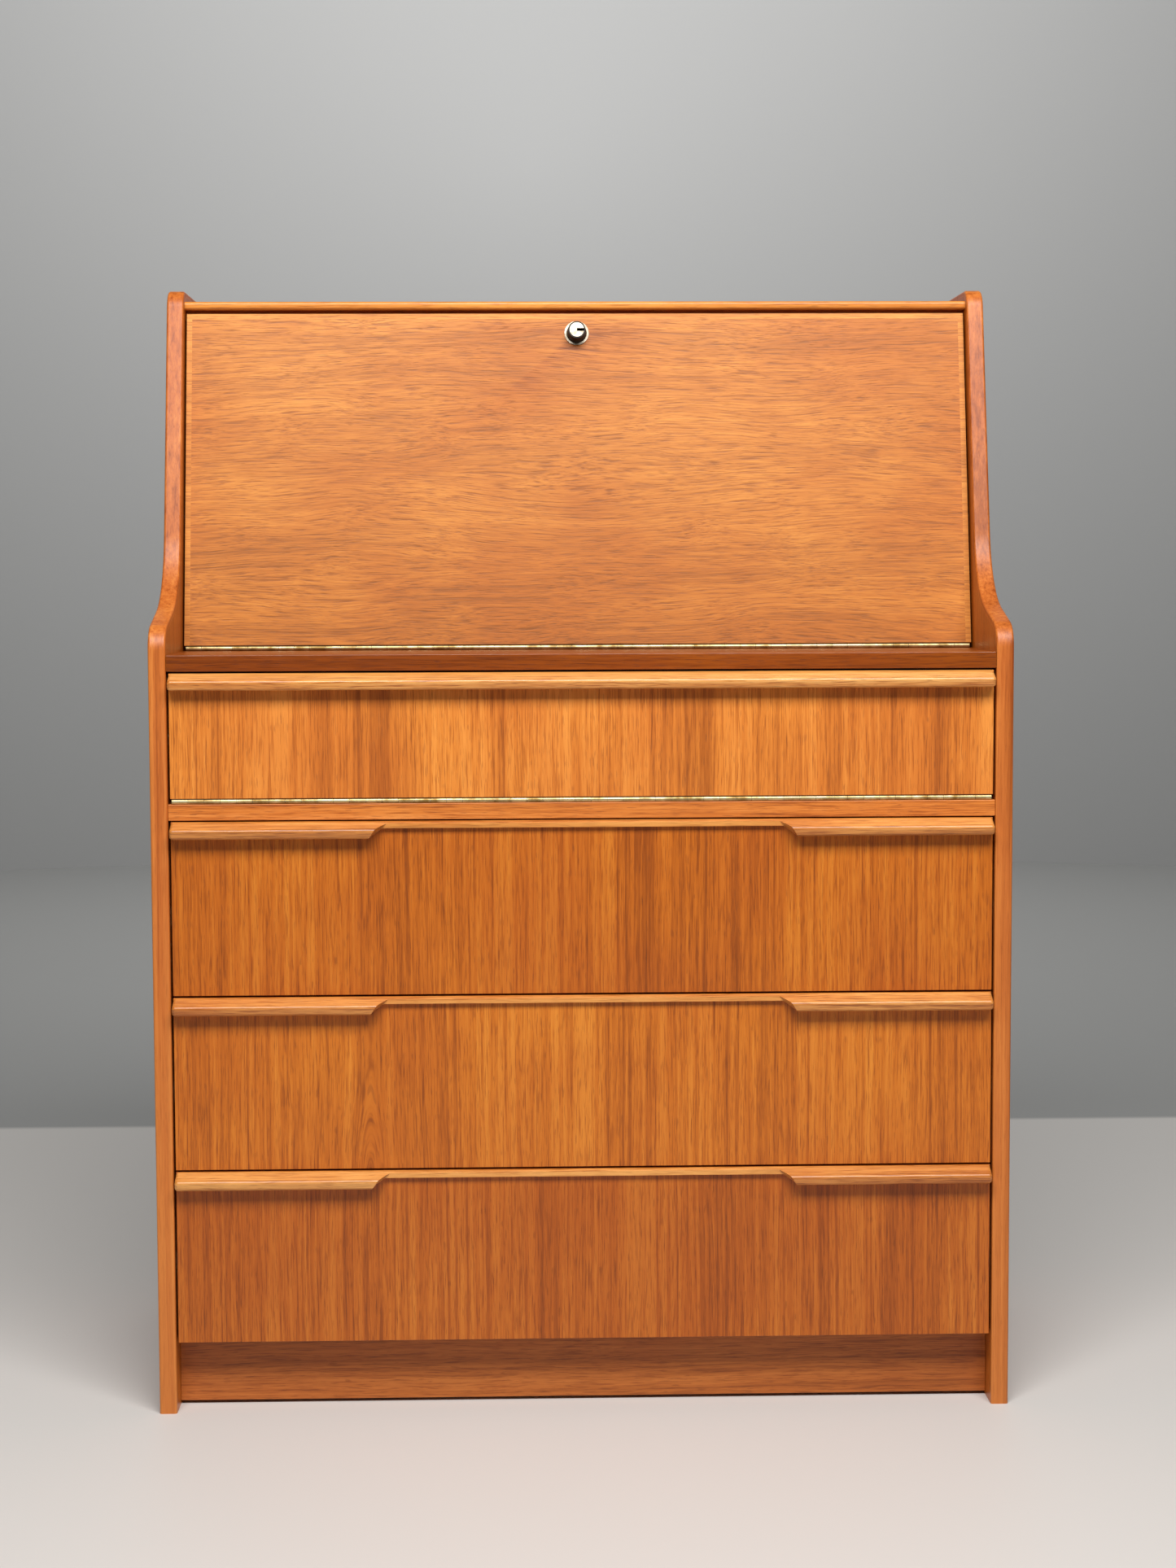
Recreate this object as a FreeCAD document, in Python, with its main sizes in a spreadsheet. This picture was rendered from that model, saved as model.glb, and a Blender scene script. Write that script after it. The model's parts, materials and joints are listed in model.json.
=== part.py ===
"""Secretary desk of teak: a sloping writing flap over a drop-front compartment and
three drawers, between two shaped sides.

Millimetres.  X runs across the desk, Y from the front to the back, Z up.  The origin
is on the floor, in the middle of the desk's width and overall depth.
"""

import FreeCAD, Part

import os
import re

import Sketcher

document = FreeCAD.newDocument("secretary_desk")

# ---------------------------------------------------------------------------
# Driving dimensions.  Every cell of this sheet is a plain number.
# ---------------------------------------------------------------------------

SIZES = {
    # carcase
    "overall_width": 762,
    "desk_height": 1012.3,
    "carcase_depth": 430,
    "side_thickness": 15.5,
    "board_thickness": 14.5,
    "lipping_thickness": 5,
    "lipping_arris": 2.2,
    # outline of the sides
    "shoulder_rise": 21.9,
    "shoulder_slope": 15,
    "shoulder_radius": 24,
    "neck_setback": 113.3,
    "neck_radius": 90,
    "upper_lean": 12.6,
    "top_corner_radius": 20,
    # boards
    "ledge_height": 678.1,
    "ledge_recess": 0.5,
    "rail_height": 546.8,
    "top_drop": 10.1,
    "top_board_thickness": 15,
    "nosing_thickness": 7.7,
    "nosing_reach": 16.7,
    "nosing_radius": 3,
    "plinth_setback": 29.5,
    "plinth_lift": 3,
    "base_height": 62,
    "back_thickness": 4,
    "back_inset": 1,
    "back_rebate": 7,
    "back_clearance": 0.3,
    # letter rack
    "pigeonhole_height": 132.2,
    "shelf_thickness": 9,
    "shelf_setback": 6,
    "divider_thickness": 6,
    "divider_setback": 12,
    "divider_scoop_radius": 90,
    "divider_scoop_depth": 16,
    # fronts
    "front_thickness": 15.5,
    "front_recess": 2,
    "front_side_gap": 2,
    "front_gap": 1.7,
    "rail_gap": 1.2,
    "ledge_gap": 1.7,
    "base_gap": 2.1,
    # handles
    "handle_proud": 14.5,
    "handle_height": 14.7,
    "handle_brow": 6.5,
    "handle_undercut": 2.5,
    "handle_round": 3,
    "handle_strip": 6,
    "handle_strip_proud": 4,
    "handle_grip_foot": 190,
    "handle_grip_front_run": 10,
    "handle_grip_back_run": 24,
    # writing flap
    "flap_lean": 11.03,
    "flap_top_gap": 3.7,
    "flap_setback": 124.8,
    "flap_lipping": 5,
    # continuous hinges
    "knuckle_radius": 2.2,
    "pin_radius": 0.95,
    "pin_clearance": 0.05,
    "leaf_thickness": 0.8,
    "leaf_width": 12,
    "hinge_end_gap": 1.5,
    "hinge_seat_gap": 0.1,
    "hinge_swing_gap": 0.3,
    "axis_depth": 1.8,
    "edge_lift": 2.5,
    "knuckles": 51,
    "hinge_screws": 12,
    "screw_head_radius": 1.9,
    "screw_shank_radius": 1,
    "screw_length": 11,
    # slotted stays
    "flap_stay_radius": 130,
    "drop_pivot_lean": 21.2,
    "stay_closed_reach": 17,
    "stay_thickness": 2,
    "stay_half_width": 6,
    "stay_end_margin": 2.5,
    "stay_offset": 8,
    "stay_side_gap": 2.5,
    "stay_play": 0.3,
    "stud_radius": 2.4,
    "stud_head_radius": 4.5,
    "stud_head_thickness": 1.4,
    "rivet_radius": 1.95,
    "rivet_head_radius": 3.4,
    "rivet_head_thickness": 0.9,
    "bracket_thickness": 1.5,
    "bracket_width": 18,
    "bracket_half_height": 12,
    "bracket_ear_radius": 5.5,
    # lock
    "lock_drop": 19,
    "lock_ring_radius": 11.3,
    "lock_ring_thickness": 1.2,
    "lock_base_radius": 9.5,
    "lock_face_radius": 8,
    "lock_proud": 13,
    "lock_body_radius": 9,
    "lock_tail": 3,
    "plug_radius": 6.75,
    "plug_clearance": 0.07,
    "key_slot_length": 7,
    "key_slot_width": 2.7,
    "key_slot_depth": 5,
    "cam_thickness": 2,
    "cam_reach": 26,
    "cam_half_width": 4.5,
    "strike_thickness": 1,
    "strike_half_width": 32,
    "strike_slot_half": 22,
    "strike_depth": 15,
    # catches
    "catch_spacing": 500,
    "catch_width": 40,
    "catch_height": 11,
    "catch_depth": 18,
    "catch_plate": 1,
    "catch_gap": 0.5,
    # drawers
    "drawer_side_thickness": 12,
    "drawer_side_gap": 1.5,
    "drawer_rear_gap": 17.5,
    "drawer_box_lift": 10,
    "drawer_box_drop": 26.5,
    "drawer_bottom_thickness": 4,
    "drawer_bottom_lift": 8,
    "drawer_groove_depth": 5,
    "panel_clearance": 0.2,
    "runner_height": 17,
    "runner_end_gap": 20,
    "runner_bite": 5.5,
    "runner_groove_depth": 6,
    "runner_play": 0.3,
    # back pins
    "pin_head_radius": 2.2,
    "pin_head_thickness": 0.7,
    "pin_shank_radius": 0.9,
    "pin_length": 20,
    "pins_up_each_side": 6,
}

# ---------------------------------------------------------------------------
# Places worked out from the driving dimensions.
# ---------------------------------------------------------------------------

PLACES = {
    "inner": "overall_width / 2 - side_thickness",
    "handle_ridge_loss": "handle_round * (cos((atan(handle_proud / handle_brow)"
                         " - atan(handle_undercut / (handle_height - handle_brow))) / 2)"
                         " / cos((atan(handle_proud / handle_brow)"
                         " + atan(handle_undercut / (handle_height - handle_brow))) / 2) - 1)",
    "front": "(handle_proud - handle_ridge_loss - front_recess - carcase_depth) / 2",
    "rear": "front + carcase_depth",
    "back_face": "rear - back_inset - back_thickness",
    "ledge_bottom": "ledge_height - board_thickness",
    "rail_bottom": "rail_height - board_thickness",
    "top_face": "desk_height - top_drop",
    "top_underside": "top_face - top_board_thickness",
    "front_face": "front + front_recess",
    "front_inside": "front_face + front_thickness",
    "front_half": "inner - front_side_gap",
    # sides: the corner where the shoulder meets the leaning edge
    "shoulder_height": "ledge_height + shoulder_rise",
    "neck_height": "shoulder_height + neck_setback * tan(shoulder_slope)",
    "crown_setback": "neck_setback + (desk_height - neck_height) * tan(upper_lean)",
    # flap hinge axis, and the flap's own frame: y through its thickness, z up its face
    "flap_axis_y": "front + flap_setback",
    "flap_axis_z": "ledge_height + knuckle_radius + hinge_seat_gap",
    "flap_outside": "-axis_depth",
    "flap_inside": "front_thickness - axis_depth",
    "flap_height": "(top_face - nosing_thickness - flap_top_gap - flap_axis_z"
                   " - axis_depth * sin(flap_lean)) / cos(flap_lean)",
    "lock_height": "flap_height - lock_drop",
    "flap_corner_y": "flap_axis_y + flap_height * sin(flap_lean) + flap_inside * cos(flap_lean)",
    "top_board_front": "flap_corner_y + catch_gap",
    "shelf_front": "top_board_front + shelf_setback",
    "shelf_height": "top_underside - pigeonhole_height",
    # drop-front hinge axis
    "drop_axis_y": "front_face + axis_depth",
    "drop_axis_z": "rail_height + knuckle_radius + hinge_seat_gap",
    "drop_bottom": "drop_axis_z + edge_lift",
    "drop_top": "ledge_bottom - ledge_gap",
    "hinge_half": "front_half - hinge_end_gap",
    "knuckle_pitch": "2 * hinge_half / knuckles",
    # stays: pivot and stud stand equally far from the hinge axis
    "pivot_depth": "flap_inside + stay_offset",
    "flap_pivot_angle": "90 + flap_lean + asin(pivot_depth / flap_stay_radius) / 1 deg",
    "flap_stud_angle":
        "flap_pivot_angle + 2 * asin(stay_closed_reach / 2 / flap_stay_radius) / 1 deg",
    "flap_travel": "90 + flap_lean",
    "drop_stay_radius": "pivot_depth / sin(drop_pivot_lean)",
    "drop_pivot_angle": "90 + drop_pivot_lean",
    "drop_stud_angle":
        "drop_pivot_angle + 2 * asin(stay_closed_reach / 2 / drop_stay_radius) / 1 deg",
    "drop_travel": "90",
    "stay_outer": "inner - stay_side_gap",
    "stay_inner": "stay_outer - stay_thickness",
    "slot_radius": "stud_radius + stay_play / 2",
    # drawers
    "drawer_half": "inner - drawer_side_gap",
    "drawer_inner": "drawer_half - drawer_side_thickness",
    "drawer_back": "back_face - drawer_rear_gap",
    "first_drawer_top": "rail_bottom - rail_gap",
    "drawer_front_height": "(first_drawer_top - base_height - base_gap - 2 * front_gap) / 3",
    "drawer_box_height": "drawer_front_height - drawer_box_lift - drawer_box_drop",
    "runner_lift": "(drawer_box_height - runner_height) / 2",
}

sizes = document.addObject("Spreadsheet::Sheet", "sizes")
places = document.addObject("Spreadsheet::Sheet", "places")


def named(text):
    """Put the sheet's name before each value that an expression uses."""
    def prefix(match):
        word = match.group(0)
        if word in SIZES:
            return "sizes." + word
        if word in PLACES:
            return "places." + word
        return word
    return re.sub(r"[a-z][a-z_0-9]*", prefix, text)


for row, (alias, number) in enumerate(SIZES.items(), 1):
    sizes.set(f"A{row}", alias)
    sizes.set(f"B{row}", str(number))
    sizes.setAlias(f"B{row}", alias)
document.recompute()
for row, (alias, formula) in enumerate(PLACES.items(), 1):
    places.set(f"A{row}", alias)
    places.set(f"B{row}", "=" + named(formula))
    places.setAlias(f"B{row}", alias)
document.recompute()
for sheet in (sizes, places):
    if {"Invalid", "Error"} & set(sheet.State):
        raise RuntimeError(sheet.Name + " has a formula that fails")

# ---------------------------------------------------------------------------
# Helpers: each makes one object and binds its sizes to the sheets.
# ---------------------------------------------------------------------------

ALONG = {
    "x": FreeCAD.Rotation(FreeCAD.Vector(0, 1, 0), 90),
    "y": FreeCAD.Rotation(FreeCAD.Vector(1, 0, 0), -90),
    "z": FreeCAD.Rotation(),
}
ACROSS = {"x": "yz", "y": "xz", "z": "xy"}


def value(formula):
    """The number that an expression of the sheets' values gives now."""
    return float(sizes.evalExpression(named(formula)))


def bind(item, **expressions):
    """Bind properties; a double underscore in a name stands for a dot."""
    for name, text in expressions.items():
        item.setExpression(name.replace("__", "."), named(str(text)))
    return item


def place(item, x="0", y="0", z="0"):
    return bind(item, Placement__Base__x=x, Placement__Base__y=y, Placement__Base__z=z)


def block(name, x, y, z, kind="Part::Box", owner=document):
    """A rectangular block between two corners, each axis given as (low, high)."""
    item = owner.addObject(kind, name) if owner is document else owner.newObject(kind, name)
    bind(item, Length=f"({x[1]}) - ({x[0]})", Width=f"({y[1]}) - ({y[0]})",
         Height=f"({z[1]}) - ({z[0]})")
    return place(item, x[0], y[0], z[0])


def rod(name, axis, radius, span, **centre):
    """A cylinder along one axis, from span[0] to span[1], centred on the other two."""
    item = document.addObject("Part::Cylinder", name)
    bind(item, Radius=radius, Height=f"({span[1]}) - ({span[0]})")
    item.Placement = FreeCAD.Placement(FreeCAD.Vector(), ALONG[axis])
    return place(item, **{axis: span[0]}, **centre)


def taper(name, radii, span, **centre):
    """A cone along Y whose radius goes from radii[0] to radii[1]."""
    item = document.addObject("Part::Cone", name)
    bind(item, Radius1=radii[0], Radius2=radii[1], Height=f"({span[1]}) - ({span[0]})")
    item.Placement = FreeCAD.Placement(FreeCAD.Vector(), ALONG["y"])
    return place(item, y=span[0], **centre)


def joined(name, pieces):
    item = document.addObject("Part::MultiFuse", name)
    item.Shapes = pieces
    return item


def minus(name, base, tool):
    item = document.addObject("Part::Cut", name)
    item.Base = base
    item.Tool = tool
    return item


def shared(name, first, second):
    item = document.addObject("Part::Common", name)
    item.Base = first
    item.Tool = second
    return item


def group(name, pieces):
    item = document.addObject("Part::Compound", name)
    item.Links = pieces
    return item


def on_side(side, low, high):
    """A span given for the right of the desk, mirrored when side is -1."""
    return (low, high) if side > 0 else (f"-({high})", f"-({low})")


def on_flap(item):
    """Put a piece that is drawn in the flap's own frame on the hinge axis, leaning back."""
    item.Placement = FreeCAD.Placement(
        FreeCAD.Vector(), FreeCAD.Rotation(FreeCAD.Vector(1, 0, 0), -10))
    bind(item, Placement__Rotation__Angle="-flap_lean")
    return place(item, y="flap_axis_y", z="flap_axis_z")


def at_drop_axis(item):
    return place(item, y="drop_axis_y", z="drop_axis_z")


def at_flap_axis(item):
    return place(item, y="flap_axis_y", z="flap_axis_z")


def outline(body, name, role, points):
    """A closed sketch of straight edges; each corner is a pair of expressions."""
    sketch = body.newObject("Sketcher::SketchObject", name)
    plane = [part for part in body.Origin.OriginFeatures if part.Role == role][0]
    sketch.AttachmentSupport = [(plane, "")]
    sketch.MapMode = "FlatFace"
    corners = [FreeCAD.Vector(value(u), value(v), 0) for u, v in points]
    count = len(corners)
    for index in range(count):
        sketch.addGeometry(Part.LineSegment(corners[index], corners[(index + 1) % count]))
    for index in range(count):
        sketch.addConstraint(
            Sketcher.Constraint("Coincident", index, 2, (index + 1) % count, 1))
    for index, (u, v) in enumerate(points):
        for kind, text, at in (("DistanceX", u, corners[index].x),
                               ("DistanceY", v, corners[index].y)):
            number = sketch.addConstraint(Sketcher.Constraint(kind, -1, 1, index, 1, at))
            label = f"{kind}_{index}"
            sketch.renameConstraint(number, label)
            sketch.setExpression("Constraints." + label, named(text))
    return sketch


def pad(body, name, sketch, length):
    item = body.newObject("PartDesign::Pad", name)
    item.Profile = sketch
    item.SideType = "Symmetric"
    bind(item, Length=length)
    document.recompute()
    return item


def rounded(body, name, base, radius, wanted):
    """Round the edges of base that the test function picks."""
    document.recompute()
    edges = [f"Edge{index}" for index, edge in enumerate(base.Shape.Edges, 1) if wanted(edge)]
    if not edges:
        raise ValueError("no edge to round for " + name)
    item = body.newObject("PartDesign::Fillet", name)
    item.Base = (base, edges)
    bind(item, Radius=radius)
    document.recompute()
    return item


def ends(edge):
    return [vertex.Point for vertex in edge.Vertexes]


def near(number, target):
    return abs(number - target) < 0.01


NODES = {}


def node(label, item):
    """Give a finished piece the name of its node."""
    item.Label = label
    NODES[label] = item
    return item


# ---------------------------------------------------------------------------
# Sides: one outline, cut into a veneered panel and the solid lipping before it.
# ---------------------------------------------------------------------------

SIDE_OUTLINE = [
    ("front", "0"),
    ("front", "shoulder_height"),
    ("front + neck_setback", "neck_height"),
    ("front + crown_setback", "desk_height"),
    ("rear", "desk_height"),
    ("rear", "0"),
]
SIDE_CORNERS = (
    ("shoulder", 1, "shoulder_radius"),
    ("neck", 2, "neck_radius"),
    ("crown", 3, "top_corner_radius"),
)


def side_blank(name, width, arris):
    """The side's whole outline, padded to width, its three front corners rounded."""
    body = document.addObject("PartDesign::Body", name)
    sketch = outline(body, name + "_outline", "YZ_Plane", SIDE_OUTLINE)
    feature = pad(body, name + "_pad", sketch, width)
    for corner, index, radius in SIDE_CORNERS:
        at_y, at_z = (value(text) for text in SIDE_OUTLINE[index])

        def at_corner(edge, at_y=at_y, at_z=at_z):
            return all(near(end.y, at_y) and near(end.z, at_z) for end in ends(edge))

        feature = rounded(body, f"{name}_{corner}", feature, radius, at_corner)
    if arris:
        def on_front(edge):
            """Edges of either face that lie before the rear edge and above the floor."""
            points = ends(edge)
            flat = near(points[0].x, points[-1].x)
            low = all(near(point.z, 0) for point in points)
            behind = all(near(point.y, value("rear")) for point in points)
            return flat and not low and not behind

        feature = rounded(body, name + "_arris", feature, arris, on_front)
    body.Tip = feature
    return body


for side, hand in ((-1, "left"), (1, "right")):
    middle = f"{side} * (overall_width - side_thickness) / 2"
    blank = place(side_blank(hand + "_blank", "side_thickness", "lipping_arris"), x=middle)
    backing = side_blank(hand + "_backing", "side_thickness * 2", None)
    place(backing, x=middle, y="lipping_thickness", z="-lipping_thickness")
    panel = shared(hand + "_panel", blank, backing)
    rebate = block(hand + "_rebate", on_side(side, "inner", "inner + back_rebate"),
                   ("back_face", "rear + 1"), ("-1", "desk_height + 1"))
    core = minus(hand + "_core", panel, rebate)
    node(hand + "_side", core)
    edge_strip = minus(hand + "_strip", blank, backing)
    node(hand + "_side_lipping", edge_strip)

# ---------------------------------------------------------------------------
# Boards of the carcase.
# ---------------------------------------------------------------------------

BETWEEN_SIDES = ("-inner", "inner")

node("writing_floor", block("writing_floor_board", BETWEEN_SIDES,
                            ("front + ledge_recess", "back_face"),
                            ("ledge_bottom", "ledge_height")))
node("compartment_floor", block("compartment_floor_board", BETWEEN_SIDES,
                                ("front_face", "back_face"),
                                ("rail_bottom", "rail_height")))
node("base_board", block("base", BETWEEN_SIDES,
                         ("front + plinth_setback + board_thickness", "back_face"),
                         ("base_height - board_thickness", "base_height")))
node("plinth_front", block("plinth", BETWEEN_SIDES,
                           ("front + plinth_setback",
                            "front + plinth_setback + board_thickness"),
                           ("plinth_lift", "base_height")))
node("back_panel", block("back", ("-inner - back_rebate + back_clearance",
                                  "inner + back_rebate - back_clearance"),
                         ("back_face", "back_face + back_thickness"),
                         ("base_height - board_thickness", "top_face")))

CAM_FRONT = "lock_tail + flap_inside + panel_clearance"
CAM_BACK = f"{CAM_FRONT} + cam_thickness"
MORTISE = {
    "low": f"flap_axis_y + flap_height * sin(flap_lean) + ({CAM_FRONT}) * cos(flap_lean)"
           " - 2 * panel_clearance",
    "high": f"flap_axis_y + (flap_height + cam_reach) * sin(flap_lean)"
            f" + ({CAM_BACK}) * cos(flap_lean)",
    "top": "flap_axis_z + (lock_height + cam_reach) * cos(flap_lean) - lock_tail / 2",
}
top_blank = block("top_blank", BETWEEN_SIDES, ("top_board_front", "back_face"),
                  ("top_underside", "top_face"))
mortise = block("mortise", ("-strike_slot_half", "strike_slot_half"),
                (MORTISE["low"], MORTISE["high"]),
                ("top_underside - 1", MORTISE["top"]))
node("top_board", minus("top_board_cut", top_blank, mortise))
strike_blank = block("strike_blank", ("-strike_half_width", "strike_half_width"),
                     ("top_board_front + catch_gap", "top_board_front + strike_depth"),
                     ("top_underside - strike_thickness", "top_underside"))
strike_slot = block("strike_slot", ("-strike_slot_half", "strike_slot_half"),
                    (MORTISE["low"], MORTISE["high"]),
                    ("top_underside - strike_thickness - 1", "top_underside + 1"))
node("strike_plate", minus("strike_cut", strike_blank, strike_slot))

nosing = document.addObject("PartDesign::Body", "nosing")
nosing_strip = block("nosing_strip", BETWEEN_SIDES,
                     ("top_board_front - nosing_reach", "top_board_front"),
                     ("top_face - nosing_thickness", "top_face"),
                     "PartDesign::AdditiveBox", nosing)
nosing_front = value("top_board_front - nosing_reach")


def along_nosing(edge):
    points = ends(edge)
    return all(near(point.y, nosing_front) for point in points) and \
        not near(points[0].x, points[-1].x)


rounded(nosing, "nosing_round", nosing_strip, "nosing_radius", along_nosing)
node("top_nosing", nosing)

# ---------------------------------------------------------------------------
# Letter rack: a shelf and scooped dividers under the top.
# ---------------------------------------------------------------------------

node("letter_shelf", block("shelf", BETWEEN_SIDES, ("shelf_front", "back_face"),
                           ("shelf_height - shelf_thickness", "shelf_height")))

DIVIDERS = 4
dividers = []
for index in range(DIVIDERS):
    centre = f"-inner + 2 * inner * {index + 1} / {DIVIDERS + 1}"
    board = block(f"divider_board_{index + 1}",
                  (f"{centre} - divider_thickness / 2", f"{centre} + divider_thickness / 2"),
                  ("shelf_front + divider_setback", "back_face"),
                  ("shelf_height", "top_underside"))
    scoop = rod(f"divider_scoop_{index + 1}", "x", "divider_scoop_radius",
                (f"{centre} - divider_thickness", f"{centre} + divider_thickness"),
                y="shelf_front + divider_setback + divider_scoop_depth - divider_scoop_radius",
                z="(shelf_height + top_underside) / 2")
    dividers.append(minus(f"divider_{index + 1}", board, scoop))
node("letter_dividers", group("divider_group", dividers))

# ---------------------------------------------------------------------------
# Continuous hinges, drawn with the pin on the X axis.
# ---------------------------------------------------------------------------


def hinge_leaf(name, plate, first_gap, gaps, axis_place, screws):
    """One leaf: a plate and a barrel, with every second knuckle taken away."""
    body = document.addObject("PartDesign::Body", name + "_body")
    block(name + "_plate", ("-hinge_half", "hinge_half"), ("0", "leaf_width"), plate,
          "PartDesign::AdditiveBox", body)
    barrel = body.newObject("PartDesign::AdditiveCylinder", name + "_barrel")
    bind(barrel, Radius="knuckle_radius", Height="2 * hinge_half")
    barrel.Placement = FreeCAD.Placement(FreeCAD.Vector(), ALONG["x"])
    place(barrel, x="-hinge_half")
    bore = body.newObject("PartDesign::SubtractiveCylinder", name + "_bore")
    bind(bore, Radius="pin_radius + pin_clearance", Height="2 * hinge_half + 2")
    bore.Placement = FreeCAD.Placement(FreeCAD.Vector(), ALONG["x"])
    place(bore, x="-hinge_half - 1")
    reach = "knuckle_radius + hinge_swing_gap"
    gap_start = f"-hinge_half + {first_gap} * knuckle_pitch - hinge_swing_gap / 2"
    gap = block(name + "_gap",
                (gap_start, f"{gap_start} + knuckle_pitch + hinge_swing_gap"),
                (f"-({reach})", reach), ("-edge_lift - 1", "edge_lift + 1"),
                "PartDesign::SubtractiveBox", body)
    pattern = body.newObject("PartDesign::LinearPattern", name + "_gaps")
    pattern.Originals = [gap]
    x_axis = [part for part in body.Origin.OriginFeatures if part.Role == "X_Axis"][0]
    pattern.Direction = (x_axis, [""])
    bind(pattern, Length=f"2 * knuckle_pitch * ({gaps} - 1)", Occurrences=gaps)
    body.Tip = pattern
    document.recompute()
    return node(name, axis_place(minus(name + "_drilled", body, screws)))


def hinge_screws(name, head, tail):
    """Countersunk screws along a leaf; head and tail are their two heights."""
    pieces = []
    upwards = value(f"({tail}) - ({head})") > 0
    count = int(value("hinge_screws"))
    for index in range(count):
        across = f"-hinge_half + 2 * hinge_half * {index + 0.5} / hinge_screws"
        depth = "(leaf_width + knuckle_radius) / 2"
        cone = document.addObject("Part::Cone", f"{name}_head_{index + 1}")
        narrow, wide = "screw_shank_radius", "screw_head_radius"
        radii = (wide, narrow) if upwards else (narrow, wide)
        low = head if upwards else f"({head}) - leaf_thickness"
        bind(cone, Radius1=radii[0], Radius2=radii[1], Height="leaf_thickness")
        place(cone, across, depth, low)
        span = (head, tail) if upwards else (tail, head)
        shank = rod(f"{name}_shank_{index + 1}", "z", "screw_shank_radius", span,
                    x=across, y=depth)
        pieces.append(joined(f"{name}_{index + 1}", [cone, shank]))
    return group(name + "_group", pieces)


FIXED_PLATE = ("-knuckle_radius - hinge_seat_gap",
               "leaf_thickness - knuckle_radius - hinge_seat_gap")
MOVING_PLATE = ("edge_lift - leaf_thickness", "edge_lift")
FEWER, MORE = "(knuckles - 1) / 2", "(knuckles + 1) / 2"

for name, axis_fixed, axis_moving in (("upper", at_flap_axis, on_flap),
                                      ("lower", at_drop_axis, at_drop_axis)):
    fixed = hinge_screws(f"{name}_fixed_screws", FIXED_PLATE[1],
                         f"{FIXED_PLATE[1]} - screw_length")
    moving = hinge_screws(f"{name}_moving_screws", MOVING_PLATE[0],
                          f"{MOVING_PLATE[0]} + screw_length")
    moving_leaf = "upper_hinge_flap_leaf" if name == "upper" else "lower_hinge_drop_leaf"
    hinge_leaf(f"{name}_hinge_fixed_leaf", FIXED_PLATE, 1, FEWER, axis_fixed, fixed)
    hinge_leaf(moving_leaf, MOVING_PLATE, 0, MORE, axis_moving, moving)
    node(f"{name}_hinge_carcase_screws",
         axis_fixed(group(f"{name}_fixed_screw_set", [fixed])))
    node("flap_hinge_screws" if name == "upper" else "drop_hinge_screws",
         axis_moving(group(f"{name}_moving_screw_set", [moving])))
    node(f"{name}_hinge_pin",
         rod(f"{name}_pin", "x", "pin_radius", ("-hinge_half", "hinge_half"),
             y="flap_axis_y" if name == "upper" else "drop_axis_y",
             z="flap_axis_z" if name == "upper" else "drop_axis_z"))

# ---------------------------------------------------------------------------
# Writing flap with its lippings and its lock, drawn in the flap's own frame.
# ---------------------------------------------------------------------------

FLAP_DEPTH = ("flap_outside", "flap_inside")
CORE_HALF = "front_half - flap_lipping"

flap_core = block("flap_core", (f"-({CORE_HALF})", CORE_HALF), FLAP_DEPTH,
                  ("edge_lift", "flap_height - flap_lipping"))
flap_strips = [
    block(f"flap_strip_{name}", on_side(side, CORE_HALF, "front_half"), FLAP_DEPTH,
          ("edge_lift", "flap_height - flap_lipping"))
    for side, name in ((-1, "left"), (1, "right"))
]
flap_strips.append(block("flap_strip_top", ("-front_half", "front_half"), FLAP_DEPTH,
                         ("flap_height - flap_lipping", "flap_height")))
lock_hole = rod("lock_hole", "y", "lock_body_radius", ("flap_outside - 1", "flap_inside + 1"),
                x="0", z="lock_height")
node("writing_flap", on_flap(minus("flap_cut", flap_core, lock_hole)))
node("flap_lipping", on_flap(group("flap_lipping_group", flap_strips)))

ring_outer = rod("ring_outer", "y", "lock_ring_radius",
                 ("flap_outside - lock_ring_thickness", "flap_outside"), x="0",
                 z="lock_height")
ring_inner = rod("ring_inner", "y", "lock_base_radius",
                 ("flap_outside - lock_ring_thickness - 1", "flap_outside + 1"), x="0",
                 z="lock_height")
node("lock_ring", on_flap(minus("ring_cut", ring_outer, ring_inner)))

barrel_nose = taper("barrel_nose", ("lock_face_radius", "lock_base_radius"),
                    ("flap_outside - lock_proud", "flap_outside"), x="0", z="lock_height")
barrel_body = rod("barrel_body", "y", "lock_body_radius",
                  ("flap_outside", "flap_inside + lock_tail"), x="0", z="lock_height")
barrel_bore = rod("barrel_bore", "y", "plug_radius + plug_clearance",
                  ("flap_outside - lock_proud - 1", "flap_inside + lock_tail + 1"), x="0",
                  z="lock_height")
barrel_solid = joined("barrel_solid", [barrel_nose, barrel_body])
node("lock_barrel", on_flap(minus("barrel_cut", barrel_solid, barrel_bore)))

plug_core = rod("plug_core", "y", "plug_radius",
                ("flap_outside - lock_proud - panel_clearance", CAM_FRONT), x="0",
                z="lock_height")
plug_tail = rod("plug_tail", "y", "plug_radius / 2", (CAM_FRONT, f"{CAM_BACK} + panel_clearance"),
                x="0", z="lock_height")
key_slot = block("key_slot", ("0", "key_slot_length"),
                 ("flap_outside - lock_proud - 1",
                  "flap_outside - lock_proud + key_slot_depth"),
                 ("lock_height - key_slot_width / 2", "lock_height + key_slot_width / 2"))
plug_solid = joined("plug_solid", [plug_core, plug_tail])
node("lock_plug", on_flap(minus("plug_cut", plug_solid, key_slot)))

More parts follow.
